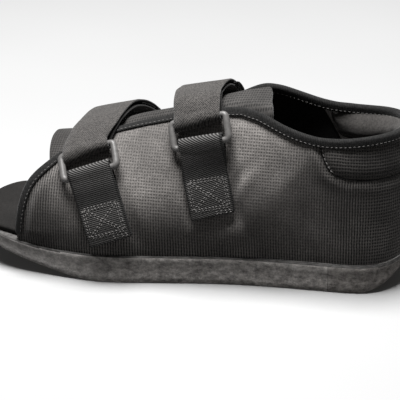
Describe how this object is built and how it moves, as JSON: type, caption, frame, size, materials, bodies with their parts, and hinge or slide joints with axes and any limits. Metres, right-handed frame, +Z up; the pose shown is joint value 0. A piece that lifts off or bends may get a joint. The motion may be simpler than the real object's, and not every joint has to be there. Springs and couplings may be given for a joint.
{
  "type": "postoperative shoe",
  "caption": "Open-toe postoperative shoe with a rocker sole, a mesh upper with a bound edge and padded collar, and hook-and-loop straps turned back through plastic rings.",
  "frame": {"origin": "on the ground, under the flat of the tread and midway across the shoe", "axes": "+X along the shoe towards the heel, +Y towards the side away from the rings, +Z up"},
  "size_m": [0.2913, 0.1081, 0.1266],
  "materials": {
    "sole_foam": "matt mottled foam",
    "insole_foam": "matt foam",
    "upper_mesh": "fine woven mesh",
    "binding_tape": "folded tape, stitched",
    "collar_lining": "felted lining",
    "tongue_mesh": "mesh over foam",
    "strap_loop": "brushed loop pile",
    "hook_tape": "hook tape",
    "ring_plastic": "satin moulded",
    "webbing": "woven herringbone"
  },
  "bodies": {
    "root": {"sole": "sole_foam", "insole": "insole_foam", "upper": "upper_mesh", "edge_binding": "binding_tape", "collar_pad": "collar_lining", "tongue": "tongue_mesh", "strap_front": "strap_loop", "strap_rear": "strap_loop", "hook_tab_front": "hook_tape", "hook_tab_rear": "hook_tape", "ring_front": "ring_plastic", "ring_rear": "ring_plastic", "webbing_front": "webbing", "webbing_rear": "webbing"}
  },
  "joints": []
}
